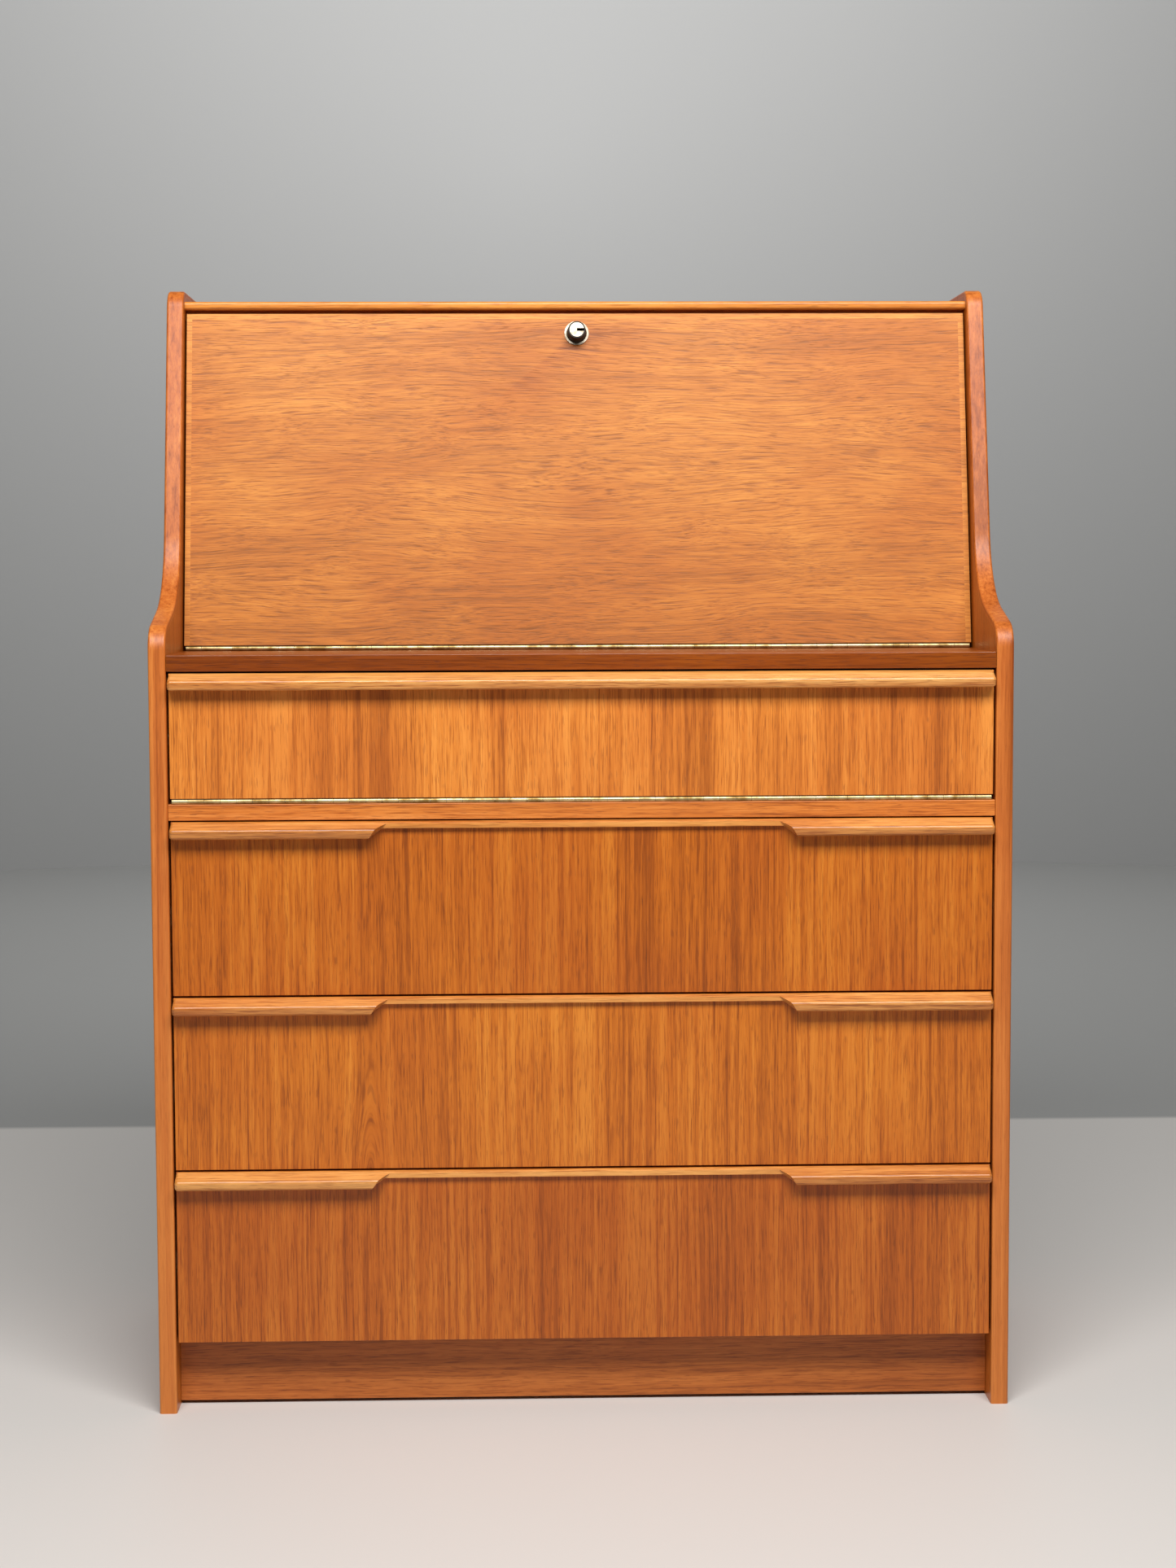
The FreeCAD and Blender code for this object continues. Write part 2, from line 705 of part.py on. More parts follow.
cam_bar = block("cam_bar", ("0", "cam_reach - cam_half_width"), (CAM_FRONT, CAM_BACK),
                ("lock_height - cam_half_width", "lock_height + cam_half_width"))
cam_hub = rod("cam_hub", "y", "plug_radius", (CAM_FRONT, CAM_BACK), x="0", z="lock_height")
cam_tip = rod("cam_tip", "y", "cam_half_width", (CAM_FRONT, CAM_BACK),
              x="cam_reach - cam_half_width", z="lock_height")
cam_hole = rod("cam_hole", "y", "plug_radius / 2",
               (f"{CAM_FRONT} - 1", f"{CAM_BACK} + 1"), x="0", z="lock_height")
cam_solid = joined("cam_solid", [cam_bar, cam_hub, cam_tip])
node("lock_cam", on_flap(minus("cam_cut", cam_solid, cam_hole)))

# ---------------------------------------------------------------------------
# Handles: a moulding with a rounded nose, cut away below its middle for the fingers.
# ---------------------------------------------------------------------------

HANDLE_FRONT = "front_face - handle_proud"


def handle(name, top, cut_away):
    """A moulded handle; cut_away leaves a low strip between its two grips."""
    body = document.addObject("PartDesign::Body", name + "_body")
    bottom = f"{top} - handle_height"
    sketch = outline(body, name + "_section", "YZ_Plane", [
        ("front_face", top), (HANDLE_FRONT, f"{top} - handle_brow"),
        (f"{HANDLE_FRONT} + handle_undercut", bottom), ("front_face", bottom)])
    moulding = pad(body, name + "_moulding", sketch, "2 * front_half")
    behind = value("front_face")

    def before_front(edge):
        return not all(near(point.y, behind) for point in ends(edge))

    body.Tip = rounded(body, name + "_round", moulding, "handle_round", before_front)
    if not cut_away:
        return node(name, body)
    cutter = document.addObject("PartDesign::Body", name + "_grip")
    sections = []
    for label, run, depth in (("front", "handle_grip_front_run", "handle_proud + 1"),
                              ("back", "handle_grip_back_run", "-1")):
        section = outline(cutter, f"{name}_grip_{label}", "XZ_Plane", [
            ("-handle_grip_foot", f"{bottom} - 1"), ("handle_grip_foot", f"{bottom} - 1"),
            (f"handle_grip_foot - {run}", f"{top} + 1"),
            (f"{run} - handle_grip_foot", f"{top} + 1")])
        section.setExpression("AttachmentOffset.Base.z", named(depth))
        sections.append(section)
    document.recompute()
    loft = cutter.newObject("PartDesign::AdditiveLoft", name + "_grip_loft")
    loft.Profile = sections[0]
    loft.Sections = [sections[1]]
    loft.Ruled = True
    cutter.Tip = loft
    place(cutter, y="front_face")
    strip = block(name + "_strip", ("-front_half", "front_half"),
                  ("front_face - handle_strip_proud", "front_face + 2"),
                  (f"{top} - handle_strip", f"{top} + 2"))
    return node(name, minus(name + "_cut", body, minus(name + "_tool", cutter, strip)))


# ---------------------------------------------------------------------------
# Drop-front, its catches and its handle.
# ---------------------------------------------------------------------------

node("drop_front", block("drop_panel", ("-front_half", "front_half"),
                         ("front_face", "front_inside"), ("drop_bottom", "drop_top")))
handle("drop_front_handle", "drop_top", False)

CATCH_TOP = "drop_top - ledge_gap"
catch_plates = []
catch_bodies = []
for side in (-1, 1):
    span = on_side(side, "(catch_spacing - catch_width) / 2",
                   "(catch_spacing + catch_width) / 2")
    catch_plates.append(block(f"catch_plate_{len(catch_plates) + 1}", span,
                              ("front_inside", "front_inside + catch_plate"),
                              (f"{CATCH_TOP} - catch_height", CATCH_TOP)))
    catch_bodies.append(block(f"catch_body_{len(catch_bodies) + 1}", span,
                              ("front_inside + catch_plate + catch_gap",
                               "front_inside + catch_plate + catch_gap + catch_depth"),
                              ("ledge_bottom - catch_height", "ledge_bottom")))
node("drop_catch_plates", group("catch_plate_group", catch_plates))
node("magnetic_catches", group("catch_group", catch_bodies))

# ---------------------------------------------------------------------------
# Slotted stays, their brackets and studs.
# ---------------------------------------------------------------------------


def stadium(name, x, start, stop, radius):
    """A plate with round ends along Y, centred on z = 0."""
    return joined(name, [
        block(name + "_middle", x, (start, stop), (f"-({radius})", radius)),
        rod(name + "_start", "x", radius, x, y=start, z="0"),
        rod(name + "_stop", "x", radius, x, y=stop, z="0"),
    ])


def stay(label, side, kind, axis_y, axis_z):
    """A slotted arm: its pivot rides on the leaf and its slot slides on a fixed stud."""
    radius = f"{kind}_stay_radius"
    pivot, stud = f"{kind}_pivot_angle", f"{kind}_stud_angle"
    closed = "stay_closed_reach"
    opened = f"2 * {radius} * sin(({stud} - {pivot} + {kind}_travel) / 2)"
    across = on_side(side, "stay_inner", "stay_outer")
    through = on_side(side, "stay_inner - 1", "stay_outer + 1")
    arm = stadium(label + "_arm", across, "0",
                  f"{opened} + slot_radius + stay_end_margin", "stay_half_width")
    slot = stadium(label + "_slot", through, closed, opened, "slot_radius")
    hole = rod(label + "_hole", "x", "rivet_radius + pin_clearance", through, y="0", z="0")
    item = minus(label + "_cut", arm, group(label + "_holes", [slot, hole]))
    item.Placement = FreeCAD.Placement(
        FreeCAD.Vector(), FreeCAD.Rotation(FreeCAD.Vector(1, 0, 0), -10))
    bind(item, Placement__Rotation__Angle=f"90 - ({stud} + {pivot}) / 2")
    place(item, y=f"{axis_y} - {radius} * cos({pivot})",
          z=f"{axis_z} + {radius} * sin({pivot})")
    return node(label, item)


def bracket(name, side, height):
    """An angle plate on a leaf's inner face, with the rivet that the arm turns on."""
    ear_in, ear_out = "stay_inner - stay_side_gap - bracket_thickness", \
        "stay_inner - stay_side_gap"
    foot = block(name + "_foot", on_side(side, f"{ear_out} - bracket_width", ear_out),
                 ("flap_inside", "flap_inside + bracket_thickness"),
                 (f"{height} - bracket_half_height", f"{height} + bracket_half_height"))
    ear = block(name + "_ear", on_side(side, ear_in, ear_out), ("flap_inside", "pivot_depth"),
                (f"{height} - bracket_ear_radius", f"{height} + bracket_ear_radius"))
    eye = rod(name + "_eye", "x", "bracket_ear_radius", on_side(side, ear_in, ear_out),
              y="pivot_depth", z=height)
    collar = rod(name + "_collar", "x", "rivet_head_radius",
                 on_side(side, ear_in, "stay_inner - stay_play"), y="pivot_depth", z=height)
    rivet = rod(name + "_rivet", "x", "rivet_radius",
                on_side(side, ear_in, "stay_outer + stay_play + rivet_head_thickness"),
                y="pivot_depth", z=height)
    head = rod(name + "_head", "x", "rivet_head_radius",
               on_side(side, "stay_outer + stay_play",
                       "stay_outer + stay_play + rivet_head_thickness"),
               y="pivot_depth", z=height)
    return joined(name, [foot, ear, eye, collar, rivet, head])


def stud(name, side, kind, axis_y, axis_z):
    """The fixed stud on the side: a shoulder, a shank through the slot and a head."""
    at = {
        "y": f"{axis_y} - {kind}_stay_radius * cos({kind}_stud_angle)",
        "z": f"{axis_z} + {kind}_stay_radius * sin({kind}_stud_angle)",
    }
    shoulder = rod(name + "_shoulder", "x", "stud_head_radius",
                   on_side(side, "stay_outer + stay_play", "inner"), **at)
    shank = rod(name + "_shank", "x", "stud_radius",
                on_side(side, "stay_inner - stay_play", "inner"), **at)
    head = rod(name + "_head", "x", "stud_head_radius",
               on_side(side, "stay_inner - stay_play - stud_head_thickness",
                       "stay_inner - stay_play"), **at)
    return joined(name, [shoulder, shank, head])


PIVOT_HEIGHT = {
    kind: f"sqrt(pow({kind}_stay_radius, 2) - pow(pivot_depth, 2))" for kind in ("flap", "drop")
}
AXES = {"flap": ("flap_axis_y", "flap_axis_z"), "drop": ("drop_axis_y", "drop_axis_z")}
SEATS = {"flap": on_flap, "drop": at_drop_axis}
studs = []
for kind in ("flap", "drop"):
    ears = []
    for side, hand in ((-1, "left"), (1, "right")):
        stay(f"{hand}_{kind}_stay", side, kind, *AXES[kind])
        ears.append(bracket(f"{hand}_{kind}_bracket", side, PIVOT_HEIGHT[kind]))
        studs.append(stud(f"{hand}_{kind}_stud", side, kind, *AXES[kind]))
    node(f"{kind}_stay_brackets", SEATS[kind](group(f"{kind}_bracket_group", ears)))
node("stay_studs", group("stud_group", studs))

# ---------------------------------------------------------------------------
# Drawers and the runners they slide on.
# ---------------------------------------------------------------------------

DRAWERS = 3
runners = []
for number in range(1, DRAWERS + 1):
    name = f"drawer_{number}"
    top = f"first_drawer_top - {number - 1} * (drawer_front_height + front_gap)"
    low = f"{top} - drawer_front_height"
    box_low = f"{low} + drawer_box_lift"
    box_high = f"{box_low} + drawer_box_height"
    sheet_low = f"{box_low} + drawer_bottom_lift"
    sheet_high = f"{sheet_low} + drawer_bottom_thickness"
    rail_low = f"{box_low} + runner_lift"
    rail_high = f"{rail_low} + runner_height"
    node(f"{name}_front", block(f"{name}_face", ("-front_half", "front_half"),
                                ("front_face", "front_inside"), (low, top)))
    handle(f"{name}_handle", top, True)
    walls = []
    for side, hand in ((-1, "left"), (1, "right")):
        part_name = f"{name}_{hand}"
        wall = block(f"{part_name}_wall", on_side(side, "drawer_inner", "drawer_half"),
                     ("front_inside", "drawer_back"), (box_low, box_high))
        groove = block(f"{part_name}_groove",
                       on_side(side, "drawer_half - runner_groove_depth", "drawer_half + 1"),
                       ("front_inside - 1", "drawer_back + 1"),
                       (f"{rail_low} - runner_play", f"{rail_high} + runner_play"))
        slit = block(f"{part_name}_slit",
                     on_side(side, "drawer_inner - 1",
                             "drawer_inner + drawer_groove_depth + panel_clearance"),
                     ("front_inside - 1", "drawer_back + 1"), (sheet_low, sheet_high))
        walls.append(minus(f"{part_name}_side", wall,
                           group(f"{part_name}_cuts", [groove, slit])))
        runners.append(block(f"{part_name}_runner",
                             on_side(side, "drawer_half - runner_bite", "inner"),
                             ("front_inside + panel_clearance",
                              "drawer_back - runner_end_gap"),
                             (rail_low, rail_high)))
    node(f"{name}_sides", group(f"{name}_side_group", walls))
    node(f"{name}_back", block(f"{name}_rear", ("-drawer_inner", "drawer_inner"),
                               ("drawer_back - drawer_side_thickness", "drawer_back"),
                               (sheet_high, box_high)))
    node(f"{name}_bottom", block(f"{name}_sheet",
                                 ("-drawer_inner - drawer_groove_depth",
                                  "drawer_inner + drawer_groove_depth"),
                                 ("front_inside", "drawer_back"), (sheet_low, sheet_high)))
node("drawer_runners", group("runner_group", runners))

# ---------------------------------------------------------------------------
# Pins that hold the back panel to the sides, the top and the base.
# ---------------------------------------------------------------------------

BACK_OUT = "back_face + back_thickness"
BACK_MIDDLE = "(base_height + top_face) / 2"
pin_places = []
for side in (-1, 1):
    for index in range(int(value("pins_up_each_side"))):
        share = f"({index} + 0.5) / pins_up_each_side"
        pin_places.append((f"{side} * (inner + back_rebate / 2)",
                           f"base_height + (top_face - base_height) * {share}"))
for height in ("base_height - board_thickness / 2", "top_face - top_board_thickness / 2"):
    for share in (-0.6, -0.2, 0.2, 0.6):
        pin_places.append((f"inner * {share}", height))
pins = []
for index, (across, height) in enumerate(pin_places, 1):
    head = rod(f"back_pin_head_{index}", "y", "pin_head_radius",
               (BACK_OUT, f"{BACK_OUT} + pin_head_thickness"), x=across, z=height)
    shank = rod(f"back_pin_shank_{index}", "y", "pin_shank_radius",
                (f"{BACK_OUT} - pin_length", BACK_OUT), x=across, z=height)
    pins.append(joined(f"back_pin_{index}", [head, shank]))
node("back_pins", group("back_pin_group", pins))

# ---------------------------------------------------------------------------
# Checks, and one STEP file for each node.
# ---------------------------------------------------------------------------

document.recompute()
for item in document.Objects:
    if {"Invalid", "Error"} & set(item.State):
        raise RuntimeError(f"{item.Name} failed: {item.State}")
os.makedirs("parts", exist_ok=True)
for label, item in NODES.items():
    shape = item.Shape
    if shape.isNull() or not shape.isValid() or not shape.Solids:
        raise RuntimeError(f"{label} has no valid solid")
    shape.exportStep(f"parts/{label}.step")
print(len(NODES), "nodes written")
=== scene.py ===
"""Looks of a teak secretary desk: sloping flap, drop-front compartment and three drawers.

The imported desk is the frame.  Its boards are copied, their doubles merged and their arrises
eased; handles and lippings are smoothed; every surface gets the wood or metal it is made of.
"""

import json
import math

import bmesh
import bpy
from mathutils import Matrix, Vector


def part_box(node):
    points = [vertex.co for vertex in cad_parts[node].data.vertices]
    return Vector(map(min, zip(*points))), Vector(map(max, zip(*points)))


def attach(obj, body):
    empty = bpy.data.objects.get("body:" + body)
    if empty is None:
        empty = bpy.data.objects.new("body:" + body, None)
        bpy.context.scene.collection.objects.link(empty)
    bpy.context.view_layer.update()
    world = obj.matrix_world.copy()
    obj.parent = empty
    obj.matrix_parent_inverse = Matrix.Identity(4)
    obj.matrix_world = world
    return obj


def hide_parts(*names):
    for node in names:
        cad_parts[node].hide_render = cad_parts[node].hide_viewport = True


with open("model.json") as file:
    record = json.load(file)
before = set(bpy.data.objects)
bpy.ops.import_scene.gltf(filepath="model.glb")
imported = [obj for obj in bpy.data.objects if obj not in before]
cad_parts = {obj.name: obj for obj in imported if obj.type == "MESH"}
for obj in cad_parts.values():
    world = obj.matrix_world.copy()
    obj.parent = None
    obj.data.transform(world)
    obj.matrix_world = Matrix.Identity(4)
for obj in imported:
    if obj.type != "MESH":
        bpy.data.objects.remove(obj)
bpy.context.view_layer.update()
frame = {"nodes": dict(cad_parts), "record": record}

MM = 0.001
DRAWERS = (1, 2, 3)
MERGE_GAP = 0.002 * MM
FLAT_WITHIN = math.radians(0.5)
SMOOTH_WITHIN = math.radians(35)


# ---------------------------------------------------------------------------
# Materials
# ---------------------------------------------------------------------------

def linear(colour):
    """An sRGB hex colour as linear RGBA."""
    parts = [int(colour[i:i + 2], 16) / 255 for i in (1, 3, 5)]
    return (*[c / 12.92 if c <= 0.04045 else ((c + 0.055) / 1.055) ** 2.4 for c in parts], 1)


def add(tree, kind, links=None, values=None, ramp=None, **settings):
    """Add a node, its links and its settings.

    Settings are the node's own properties or its inputs by name; values are its inputs by
    number, for the sockets that share a name.
    """
    node = tree.nodes.new("ShaderNode" + kind)
    for name, setting in settings.items():
        if hasattr(node, name):
            setattr(node, name, setting)
        else:
            node.inputs[name.replace("_", " ")].default_value = setting
    for number, value in (values or {}).items():
        node.inputs[number].default_value = value
    for name, source in (links or {}).items():
        tree.links.new(source, node.inputs[name])
    if ramp:
        node.color_ramp.elements[0].position, first = ramp[0]
        node.color_ramp.elements[0].color = linear(first)
        node.color_ramp.elements[1].position, last = ramp[-1]
        node.color_ramp.elements[1].color = linear(last)
        for position, colour in ramp[1:-1]:
            node.color_ramp.elements.new(position).color = linear(colour)
    return node


def new_material(name):
    """A material whose shader is ready; gives the material, its tree and the shader."""
    material = bpy.data.materials.new(name)
    material.use_nodes = True
    tree = material.node_tree
    shader = tree.nodes["Principled BSDF"]
    return material, tree, shader


MIX_UNDER, MIX_OVER, MIX_RESULT = 6, 7, 2  # the colour sockets of a Mix node
SEED_STEP = (911.0, 377.0, 173.0)  # mm that one seed moves a pattern, grain first
GRAIN_TURN = {
    "x": (0, 0, 0),
    "y": (0, 0, math.radians(-90)),
    "z": (0, math.radians(90), 0),
}


def streaks(tree, place, along, across, detail=2.0, roughness=0.5):
    """Noise drawn out along the grain; both sizes are in millimetres."""
    stretch = add(tree, "Mapping", {"Vector": place}, vector_type="POINT",
                  Scale=(1 / along, 1 / across, 1 / across))
    noise = add(tree, "TexNoise", {"Vector": stretch.outputs[0]}, Scale=1.0, Detail=detail,
                Roughness=roughness)
    return noise.outputs["Fac"]


def weighted(tree, *parts):
    """The sum of (strength, output) pairs."""
    strength, output = parts[0]
    total = add(tree, "Math", {0: output}, {1: strength}, operation="MULTIPLY").outputs[0]
    for strength, output in parts[1:]:
        step = add(tree, "Math", {0: output, 2: total}, {1: strength},
                   operation="MULTIPLY_ADD")
        total = step.outputs[0]
    return total


def arched(tree, place, heart, seed):
    """Bend upright grain into the nested arches of a flat-sawn board.

    heart is the foot of the arches, across and up the front in mm, their narrowness, and
    how far from the centre the grain runs straight again above them.
    """
    centre, foot, narrowness, straight = heart
    parts = add(tree, "SeparateXYZ", {"Vector": place})
    across = add(tree, "Math", {0: parts.outputs[2]}, {1: seed * SEED_STEP[2] - centre},
                 operation="SUBTRACT")
    rise = add(tree, "Math", {0: parts.outputs[0]},
               {1: narrowness, 2: -(seed * SEED_STEP[0] + foot) * narrowness},
               operation="MULTIPLY_ADD")
    capped = add(tree, "Math", {0: rise.outputs[0]}, {1: straight, 2: straight / 2},
                 operation="SMOOTH_MIN")
    flat = add(tree, "CombineXYZ", {"X": across.outputs[0], "Y": capped.outputs[0]})
    ring = add(tree, "VectorMath", {0: flat.outputs[0]}, operation="LENGTH")
    bent = add(tree, "CombineXYZ", {"X": parts.outputs[0], "Y": parts.outputs[1],
                                    "Z": ring.outputs["Value"]})
    return bent.outputs[0]


def wood(name, grain, seed, pale, middle, deep, wave=1.0, bands=0.8, lines=0.6, flecks=0.8,
         leaves=0.5, pores=0.5, patina=0.4, gloss=0.42, coat=0.06, rub_and_sheen=0.25, shine=0.38,
         heart=None):
    """Teak under a satin finish: slow colour bands, growth lines, dark flecks and short pores.

    The pores of teak are about 0.3 mm wide; they are drawn at 0.7 mm so that they show.
    """
    contrast, sway_depth, fleck_share = 0.22, 22 * wave, flecks * 0.55
    material, tree, shader = new_material(name)
    where = add(tree, "TexCoord")
    turned = add(tree, "Mapping", {"Vector": where.outputs["Object"]}, vector_type="POINT",
                 Rotation=GRAIN_TURN[grain], Scale=(1000, 1000, 1000),
                 Location=[seed * step for step in SEED_STEP])
    spot = turned.outputs[0]
    sway = add(tree, "Mapping", {"Vector": spot}, Scale=(1 / 300, 1 / 90, 1 / 90))
    bend = add(tree, "TexNoise", {"Vector": sway.outputs[0]}, Scale=1.0, Detail=2.0)
    offset = add(tree, "VectorMath", {0: bend.outputs["Color"]}, {1: (0.5, 0.5, 0.5)},
                 operation="SUBTRACT")
    bent = add(tree, "VectorMath", {0: offset.outputs[0], 2: spot},
               {1: (0, sway_depth, sway_depth)}, operation="MULTIPLY_ADD")
    place = bent.outputs[0]
    if heart:
        place = arched(tree, place, heart, seed)

    leaf = streaks(tree, spot, along=4000, across=110, detail=1.0)
    band = streaks(tree, place, along=1300, across=30, detail=3.0, roughness=0.62)
    line = streaks(tree, place, along=600, across=3.6, roughness=0.6)
    fleck = streaks(tree, place, along=34, across=1.15, roughness=0.62)
    pore = streaks(tree, place, along=11, across=0.7, detail=0.0)
    blotch = streaks(tree, spot, along=190, across=110, detail=3.0, roughness=0.55)
    arris_pointiness = add(tree, "NewGeometry")

    tone = weighted(tree, (leaves, leaf), (bands, band), (lines, line), (fleck_share, fleck))
    mean = 0.5 * (leaves + bands + lines + fleck_share)
    spread = add(tree, "MapRange", {"Value": tone}, From_Min=mean - contrast,
                 From_Max=mean + contrast)
    body = add(tree, "ValToRGB", {"Fac": spread.outputs[0]},
               ramp=[(0.0, deep), (0.5, middle), (1.0, pale)])
    colour = body.outputs[0]

    # Each mark: its pattern, the pattern's range, how strong it is at the range's two ends,
    # its tint and how the tint is laid on.
    marks = {
        "aged": (blotch, 0.36, 0.62, 0.0, patina, "#DDB893", "MULTIPLY"),
        "dark_line": (line, 0.28, 0.42, 0.55 * lines, 0.0, "#BE9C7C", "MULTIPLY"),
        "dark_fleck": (fleck, 0.33, 0.47, 0.75 * flecks, 0.0, "#B28F6F", "MULTIPLY"),
        "open_pore": (pore, 0.26, 0.36, 0.8 * pores, 0.0, "#8A6648", "MULTIPLY"),
        # Paler arrises: partly finish rubbed through, partly a painted highlight on every
        # convex edge.
        "rubbed_and_sheen": (arris_pointiness.outputs["Pointiness"], 0.53, 0.60, 0.0, rub_and_sheen, pale, "MIX"),
    }
    strength = {}
    for mark, (pattern, low, high, at_low, at_high, tint, blend) in marks.items():
        remap = add(tree, "MapRange", {"Value": pattern}, From_Min=low, From_Max=high,
                    To_Min=at_low, To_Max=at_high)
        strength[mark] = remap.outputs[0]
        mix = add(tree, "Mix", {0: strength[mark], MIX_UNDER: colour},
                  {MIX_OVER: linear(tint)}, data_type="RGBA", blend_type=blend)
        colour = mix.outputs[MIX_RESULT]
    tree.links.new(colour, shader.inputs["Base Color"])

    dullness = weighted(tree, (0.16, fleck), (0.20, blotch), (0.3, strength["open_pore"]))
    rough = add(tree, "MapRange", {"Value": dullness}, From_Min=0.10, From_Max=0.46,
                To_Min=gloss - 0.08, To_Max=gloss + 0.14)
    tree.links.new(rough.outputs[0], shader.inputs["Roughness"])
    height = weighted(tree, (0.6, fleck), (-1.0, strength["open_pore"]),
                      (-0.5, strength["dark_fleck"]))
    bump = add(tree, "Bump", {"Height": height}, Strength=0.18, Distance=0.0004)
    tree.links.new(bump.outputs[0], shader.inputs["Normal"])
    shader.inputs["IOR"].default_value = 1.48
    shader.inputs["Specular IOR Level"].default_value = shine
    shader.inputs["Coat Weight"].default_value = coat
    shader.inputs["Coat Roughness"].default_value = 0.25
    return material


def metal(name, colour, tarnish, roughness, scale):
    """Sheet or turned metal with a slow tarnish; scale is its patches to the metre."""
    material, tree, shader = new_material(name)
    where = add(tree, "TexCoord")
    cloud = add(tree, "TexNoise", {"Vector": where.outputs["Object"]}, Scale=scale, Detail=4.0)
    colour_ramp = add(tree, "ValToRGB", {"Fac": cloud.outputs["Fac"]},
                      ramp=[(0.35, tarnish), (0.62, colour)])
    tree.links.new(colour_ramp.outputs[0], shader.inputs["Base Color"])
    rubbed_and_sheen = add(tree, "MapRange", {"Value": cloud.outputs["Fac"]}, From_Min=0.3, From_Max=0.7,
                 To_Min=roughness + 0.18, To_Max=roughness)
    tree.links.new(rubbed_and_sheen.outputs[0], shader.inputs["Roughness"])
    shader.inputs["Metallic"].default_value = 1.0
    return material


def plain(name, colour, roughness, scale=300.0, strength=0.1, shine=0.5):
    """A painted or moulded surface with a slight orange-peel relief.

    colour is its darker and its lighter tone, and scale its grains to the metre, drawn
    coarser than the real 0.1 to 0.5 mm so that they show.
    """
    material, tree, shader = new_material(name)
    where = add(tree, "TexCoord")
    grit = add(tree, "TexNoise", {"Vector": where.outputs["Object"]}, Scale=scale, Detail=3.0)
    shade = add(tree, "ValToRGB", {"Fac": grit.outputs["Fac"]},
                ramp=[(0.3, colour[0]), (0.7, colour[1])])
    tree.links.new(shade.outputs[0], shader.inputs["Base Color"])
    bump = add(tree, "Bump", {"Height": grit.outputs["Fac"]}, Strength=strength,
               Distance=0.0003)
    tree.links.new(bump.outputs[0], shader.inputs["Normal"])
    shader.inputs["Roughness"].default_value = roughness
    shader.inputs["Specular IOR Level"].default_value = shine
    return material


# Palettes of teak, from its palest band to its deepest.
TEAK = {"pale": "#CB7824", "middle": "#B86013", "deep": "#944508"}
RICH_TEAK = {"pale": "#D3802A", "middle": "#C06817", "deep": "#9C4B0A"}
DARK_TEAK = {"pale": "#C67325", "middle": "#B25B14", "deep": "#8E4009"}
FRONT_TEAK = {1: TEAK, 2: RICH_TEAK, 3: DARK_TEAK}
HEARTS = {2: (-190, 205, 0.15, 11)}  # drawers whose figure is arched
AMBER = {"pale": "#E2A055", "middle": "#CB833A", "deep": "#A05E22"}
WARM = {"pale": "#DC8F3D", "middle": "#C87529", "deep": "#A65917"}
RUSSET = {"pale": "#D5843C", "middle": "#C06A2A", "deep": "#9E5018"}
GOLDEN = {"pale": "#E8AC62", "middle": "#D89042", "deep": "#B46824"}
BROWN = {"pale": "#A15512", "middle": "#8A4309", "deep": "#6B3005"}
UMBER = {"pale": "#C67432", "middle": "#B06023", "deep": "#8E4814"}

# Teak veneer, knife-cut across a wavy log, sanded and oiled: lively figure along the desk,
# dull enough that the light only lifts it evenly.
flap_teak = wood("teak_veneer_flap", "x", 1, "#D48A3A", "#B66A25", "#8A4611",
                 wave=1.8, leaves=0.3, bands=0.5, lines=0.4, flecks=1.1, patina=0.8,
                 gloss=0.46, shine=0.25, coat=0.0)
# Solid teak strips planed straight and glued round the flap: plainer and a little yellower.
flap_lipping_teak = wood("teak_flap_lipping", "x", 18, "#DA9340", "#C0752B", "#965014",
                         wave=0.5, leaves=0.3, bands=0.6, lines=0.5, flecks=0.8,
                         patina=0.6, gloss=0.46, shine=0.25, coat=0.0)
# Teak veneer laid upright and oiled: the palest sheet of the desk, with straight bands.
drop_teak = wood("teak_veneer_drop_front", "z", 7, "#E59441", "#D17A2B", "#A65416",
                 wave=0.25, leaves=0.45, bands=0.9, patina=0.6)
# Teak veneer laid upright and oiled: one sheet for each drawer, deeper towards the floor;
# the middle one was cut through the log's heart, so its left end shows arches.
front_teak = {
    number: wood(f"teak_veneer_drawer_{number}", "z", 2 + number, wave=0.35, leaves=0.4,
                 bands=0.6, lines=0.8, patina=0.5, heart=HEARTS.get(number),
                 **FRONT_TEAK[number])
    for number in DRAWERS
}
# Teak veneer on chipboard, upright on the sides and oiled: broad quiet bands.
side_teak = wood("teak_veneer_sides", "z", 8, wave=0.6, **TEAK)
# Teak veneer on chipboard, laid along the shelves and the top and oiled: quiet and even.
board_teak = wood("teak_veneer_boards", "x", 9, wave=0.6, **TEAK)
# Planed solid teak, oiled: a quiet straight-grained rail, orange as the drop-front above it.
rail_teak = wood("teak_rail", "x", 16, "#E2924A", "#D07A30", "#A8561A", wave=0.5)
# Planed teak that hands have darkened and polished: chestnut brown with a soft shine.
ledge_teak = wood("teak_ledge", "x", 10, wave=0.5, lines=0.35, flecks=0.6, gloss=0.36,
                  **BROWN)
# Teak veneer near the floor: the dullest and brownest of the front.
plinth_teak = wood("teak_plinth", "x", 11, wave=0.8, gloss=0.46, **UMBER)
# Solid teak, moulded by a cutter and polished by hands: honey colour, a clear highlight
# along the ridge and pale arrises, partly rubbed and partly a painted highlight.
handle_teak = wood("teak_handles", "x", 12, wave=0.4, flecks=0.8, pores=0.4, patina=0.7,
                   gloss=0.35, coat=0.25, rub_and_sheen=0.3, **AMBER)
# The same moulding on the drop-front, from a yellower plank and worn shinier.
drop_handle_teak = wood("teak_drop_handle", "x", 17, wave=0.5, flecks=0.9, pores=0.5,
                        patina=0.5, gloss=0.31, coat=0.25, rub_and_sheen=0.4, **GOLDEN)
# A half-round teak strip under the top's edge: a thin pale line of light along it.
nosing_teak = wood("teak_nosing", "x", 15, wave=0.3, gloss=0.36, coat=0.1, **WARM)
